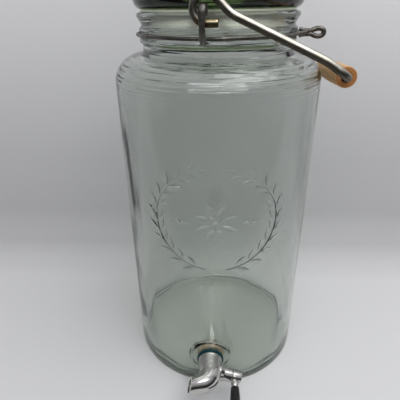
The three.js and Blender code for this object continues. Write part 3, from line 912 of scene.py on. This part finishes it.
def build_tap_casting():
    flange = WASHER_THICK + 2 * GAP
    inner_end = SEAT_FACE - PAD_FACE + STEM_END
    neck_r = BARREL_R - 0.4
    path = spout_points(flange + 1)
    body = make("tap_casting", tube(path, barrel_radius(np.linspace(0, 1, len(path))), 48, bevel=0))
    stem = lathe(rounded([
        (0, inner_end, 0), (STEM_R, inner_end, 0.8), (STEM_R, flange, 0.1), (FLANGE_R, flange, 0.5),
        (FLANGE_R, flange + 2, 0.7), (neck_r, flange + 2.6, 0.6), (neck_r, flange + 4, 0), (0, flange + 4, 0),
    ]), 64)
    combine(body, make("stem", stem), "UNION")
    housing = lathe(rounded([
        (0, 0, 0), (9.4, 0, 0), (9.4, 10.2, 3), (7.4, 14.2, 5), (7.4, COLLAR_END - 0.7, 0.3),
        (6.6, COLLAR_END, 0.1), (0, COLLAR_END, 0),
    ], 8), 56)
    place = Matrix.Translation((0, 0, VALVE_OUT)) @ ALONG_X
    combine(body, make("housing", moved(housing, place)), "UNION")
    bore = lathe([(0, inner_end - 5), (4, inner_end - 5), (4, VALVE_OUT), (0, VALVE_OUT)], 32)
    combine(body, make("bore", bore), "DIFFERENCE")
    outlet = spout_points(VALVE_OUT)
    widths = np.interp(np.linspace(0, 1, len(outlet)), (0, 0.55, 0.8, 1), (3.8, 4.2, 6.0, 6.0))
    combine(body, make("outlet", tube(outlet, widths, 32, bevel=0)), "DIFFERENCE")
    plug = lathe([(0, -7.4), (5.2, -7.4), (5.2, COLLAR_END + 5), (0, COLLAR_END + 5)], 40)
    combine(body, make("plug", moved(plug, place)), "DIFFERENCE")
    combine(body, make("beyond", box((-60, SPOUT_CUT_X), (-30, 30), (-5, 85))), "DIFFERENCE")
    put(body, TAP_FRAME)
    finish_piece(body, "tap", "tap_body", CASTING, 33)


def washer(name, outer, low, thick, edge):
    middle, high = (WASHER_IN_R + outer) / 2, low + thick
    profile = rounded([
        (middle, low, 0), (outer, low, edge), (outer, high, edge), (WASHER_IN_R, high, edge),
        (WASHER_IN_R, low, edge), (middle, low, 0),
    ], 4)
    return make(name, lathe(profile, 64), TAP_FRAME)


def build_tap_fittings():
    inside = SEAT_FACE - PAD_FACE
    outer = washer("washer_outside", WASHER_R, GAP, WASHER_THICK, 0.9)
    finish_piece(outer, "jar", "outer_washer", TEAL_SILICONE)
    inner = washer("washer_inside", WASHER_R, inside - GAP - WASHER_THICK, WASHER_THICK, 0.9)
    finish_piece(inner, "jar", "inner_washer", AGED_SILICONE)
    metal_low = inside - 2 * GAP - WASHER_THICK - METAL_WASHER_THICK
    metal = washer("washer_metal", METAL_WASHER_R, metal_low, METAL_WASHER_THICK, 0.3)
    finish_piece(metal, "tap", "metal_washer", NUT_STEEL)

    high = metal_low - GAP
    low = high - NUT_THICK
    turns = [math.pi * k / 3 for k in range(6)]
    corners = [(NUT_R * math.sin(a), NUT_R * math.cos(a), z) for z in (low, high) for a in turns]
    walls = [(k, (k + 1) % 6, (k + 1) % 6 + 6, k + 6) for k in range(6)]
    nut = make("nut_hex", (corners, [(5, 4, 3, 2, 1, 0), (6, 7, 8, 9, 10, 11), *walls]))
    drum = lathe([
        (0, low - 0.2), (NUT_R - 1.6, low - 0.2), (NUT_R + 0.2, low + 1), (NUT_R + 0.2, high - 1),
        (NUT_R - 1.6, high + 0.2), (0, high + 0.2),
    ], 48)
    combine(nut, make("drum", drum), "INTERSECT")
    bore = lathe([(0, low - 2), (7.15, low - 2), (7.15, high + 2), (0, high + 2)], 40)
    combine(nut, make("nut_bore", bore), "DIFFERENCE")
    put(nut, TAP_FRAME)
    finish_piece(nut, "tap", "lock_nut", NUT_STEEL, 20)


def build_valve():
    low, high = COLLAR_END + GAP, COLLAR_END + GAP + CAP_LENGTH
    cap = make("valve_cap_drum", lathe(rounded([
        (0, low, 0), (3.3, low, 0), (6.2, low, 0), (6.2, low + 0.5, 0), (CAP_R, low + 0.9, 0.2),
        (CAP_R, high, 0.9), (3.4, high, 0.3), (3.4, high - 3, 0), (0, high - 3, 0),
    ]), 56))
    hole = lathe([(0, 3.8), (1.9, 3.8), (1.9, 12), (0, 12)], 24)
    along_lever = Matrix.Rotation(LEVER_DIP, 4, "Z") @ Matrix.Rotation(-math.pi / 2, 4, "Y")
    hole = moved(hole, Matrix.Translation((0, 0, LEVER_X)) @ along_lever)
    combine(cap, make("lever_hole", hole), "DIFFERENCE")
    post_end = COLLAR_END + 2
    post = lathe([
        (0, low - 1), (3.3, low - 1), (3.3, post_end), (1.7, post_end), (1.7, high - 1), (0, high - 1),
    ], 32)
    combine(cap, make("post_hole", post), "DIFFERENCE")
    put(cap, VALVE_FRAME)
    finish_piece(cap, "valve", "valve_cap", POLISHED, 33)

    head = high - 3 + GAP
    screw = make("screw_slotted", lathe(rounded([
        (0, COLLAR_END - 6.5, 0), (1, COLLAR_END - 6.5, 0.2), (1, head, 0), (3, head, 0.1),
        (3, head + 1.3, 0.5), (0, head + 2, 0),
    ]), 32))
    slot = box((-3.5, 3.5), (-0.4, 0.4), (head + 0.9, head + 4))
    combine(screw, make("slot", slot), "DIFFERENCE")
    put(screw, VALVE_FRAME)
    finish_piece(screw, "valve", "cap_screw", NUT_STEEL, 33)

    end = LEVER_LENGTH
    arm = make("lever_collar", lathe(rounded([
        (0, 4.2, 0), (LEVER_R, 4.2, 0.3), (LEVER_R, 7.3, 0.1), (4.2, 7.3, 0.6), (4.2, 11.6, 0.7),
        (3.7, 12.2, 0.3), (3.7, 13, 0.2), (LEVER_R, 13, 0.1), (LEVER_R, end - 4, 0.3), (0, end - 4, 0),
    ], 4), 40), LEVER_FRAME)
    finish_piece(arm, "valve", "lever_arm", POLISHED)
    cover = make("lever_cover", lathe(rounded([
        (1.9, 20, 0), (1.9, 13.3, 0.2), (4.3, 13.3, 0.6), (5, 22, 30), (5.4, end - 8, 12),
        (4.9, end - 2, 2.2), (2.8, end, 1), (0, end, 0), (0, end - 3.6, 0), (1.9, end - 3.6, 0.2),
        (1.9, 20, 0),
    ], 6), 40), LEVER_FRAME)
    finish_piece(cover, "valve", "lever_sleeve", BLACK_PLASTIC)


build_jar()
build_lid()
build_neck_wire()
build_ear("ear_front_hook", -1, "front_ear")
build_ear("ear_rear_hook", 1, "rear_ear")
build_bail()
build_grip()
build_tap_casting()
build_tap_fittings()
build_valve()

hidden = {"valve_plug": POLISHED, "plug_ring_inner": BLACK_RUBBER, "plug_ring_outer": BLACK_RUBBER}
for name, finish in hidden.items():
    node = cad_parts[name]
    node.data.materials.clear()
    node.data.materials.append(finish)


# ---------- stage, in metres ----------
def stage_material(name):
    """Matt paper, pale on the floor, with painted shade low on the wall: the tone follows depth plus height.

    Mirror reflections see the floor's far front dark, as if the room began there.
    """
    n = Nodes(name)
    grain = n.noise(3.0, 3.0)
    depth = n.coordinate("Y")
    run_back = n.math("ADD", depth, n.coordinate("Z"))
    # Painted shade: the paper's tone dips to grey across the curve and low on the wall, and is pale again
    # higher up.
    tones = [(0.09, 0.73), (0.135, 0.62), (0.18, 0.5), (0.35, 0.55), (0.44, 0.62), (0.57, 0.74)]
    start, end = tones[0][0], tones[-1][0]
    paper_with_painted_shade = n.ramp(
        n.between(run_back, 0.0, 1.0, start, end),
        *(((at - start) / (end - start), (t, t, t * 1.008)) for at, t in tones),
    )
    far_front = n.between(depth, 1.0, 0.0, -0.34, -0.26)
    path = n.add("ShaderNodeLightPath").outputs
    mirrored = n.math("SUBTRACT", path["Is Glossy Ray"], path["Is Transmission Ray"], clamp=True)
    tone = n.mix(n.math("MULTIPLY", far_front, mirrored), paper_with_painted_shade, (0.03, 0.03, 0.03))
    paper = n.principled(tone, n.between(grain, 0.75, 0.85))
    behind = n.add("ShaderNodeNewGeometry").outputs["Backfacing"]
    clear = n.add("ShaderNodeBsdfTransparent").outputs[0]
    return n.surface(n.add("ShaderNodeMixShader", i0=behind, i1=paper, i2=clear).outputs[0])


def build_stage():
    """A pale sweep: a floor that curves up into a wall behind the object. It is clear from behind."""
    floor_end, curve_r, wall_top, reach = 0.105, 0.075, 2.2, 2.6
    section = [(-3.0, 0.0), (-1.0, 0.0), (-0.3, 0.0), (floor_end, 0.0)]
    for k in range(1, 13):
        a = math.pi / 2 * k / 12
        section.append((floor_end + curve_r * math.sin(a), curve_r - curve_r * math.cos(a)))
    section += [(floor_end + curve_r, z) for z in (0.2, 0.5, 1.0, wall_top)]
    verts = [(x, y, z) for y, z in section for x in (-reach, reach)]
    faces = [(2 * i, 2 * i + 1, 2 * i + 3, 2 * i + 2) for i in range(len(section) - 1)]
    mesh = bpy.data.meshes.new("sweep")
    mesh.from_pydata(verts, [], faces)
    mesh.polygons.foreach_set("use_smooth", [True] * len(mesh.polygons))
    sweep = bpy.data.objects.new("sweep", mesh)
    bpy.context.scene.collection.objects.link(sweep)
    mesh.materials.append(stage_material("sweep_paper"))


def area_light(name, place, aim, size, power, size_y=None, on_matt=True, on_shine=True):
    """A lamp. With on_matt off it shows in reflections only, with on_shine off it shows in none."""
    data = bpy.data.lights.new(name, "AREA")
    data.energy = power
    data.shape = "RECTANGLE" if size_y else "SQUARE"
    data.size = size
    if size_y:
        data.size_y = size_y
    lamp = bpy.data.objects.new(name, data)
    bpy.context.scene.collection.objects.link(lamp)
    lamp.location = place
    lamp.visible_diffuse = on_matt
    lamp.visible_glossy = on_shine
    lamp.rotation_mode = "QUATERNION"
    lamp.rotation_quaternion = (Vector(aim) - Vector(place)).to_track_quat("-Z", "Y")


def build_light():
    """A pale room that mirror reflections see darker low down, and three lamps."""
    world = bpy.data.worlds.new("room")
    bpy.context.scene.world = world
    world.use_nodes = True
    tree = world.node_tree
    background = tree.nodes["Background"]
    direction = tree.nodes.new("ShaderNodeTexCoord").outputs["Generated"]
    split = tree.nodes.new("ShaderNodeSeparateXYZ")
    tree.links.new(direction, split.inputs[0])
    skies = []
    for low_tone, low_at, high_tone, high_at in ((0.025, 0.22, 0.8, 0.92), (0.42, 0.0, 0.5, 0.8)):
        sky = tree.nodes.new("ShaderNodeValToRGB")
        tree.links.new(split.outputs["Z"], sky.inputs[0])
        sky.color_ramp.elements[0].position = low_at
        sky.color_ramp.elements[0].color = (low_tone, low_tone, low_tone * 1.03, 1)
        sky.color_ramp.elements[1].position = high_at
        sky.color_ramp.elements[1].color = (high_tone, high_tone, high_tone * 1.04, 1)
        skies.append(sky.outputs[0])
    mirrored = tree.nodes.new("ShaderNodeLightPath").outputs["Is Glossy Ray"]
    pick = tree.nodes.new("ShaderNodeMix")
    pick.data_type = "RGBA"
    tree.links.new(mirrored, pick.inputs[0])
    tree.links.new(skies[1], pick.inputs[6])
    tree.links.new(skies[0], pick.inputs[7])
    tree.links.new(pick.outputs[2], background.inputs["Color"])
    background.inputs["Strength"].default_value = 1.0
    bpy.context.scene.view_settings.view_transform = "Standard"
    area_light("overhead", (0.42, -0.3, 1.4), (0, 0, 0.1), 0.9, 8)
    area_light("front_fill", (0.05, -1.3, 1.25), (0, 0, 0.3), 0.5, 4, size_y=0.12, on_shine=False)
    area_light("front_strip", (0.0, -1.3, 1.35), (0, 0, 0.3), 1.7, 11, size_y=0.34, on_matt=False)


def build_camera():
    """The photograph's own view, as fitted to the object's real size."""
    data = bpy.data.cameras.new("photo_view")
    data.sensor_width = 36
    data.lens = 33.9174
    camera = bpy.data.objects.new("photo_view", data)
    bpy.context.scene.collection.objects.link(camera)
    right = Vector((0.99904425, 0.0419784, -0.01218162))
    up = Vector((-0.00855347, 0.46105647, 0.88732957))
    ahead = Vector((-0.04286509, 0.88637732, -0.46097487))
    turn = Matrix((right, up, -ahead)).transposed().to_4x4()
    camera.matrix_world = Matrix.Translation((0, -0.393506, 0.391989)) @ turn
    data.clip_start = 0.01
    data.clip_end = 20
    bpy.context.scene.camera = camera


build_stage()
build_light()
build_camera()
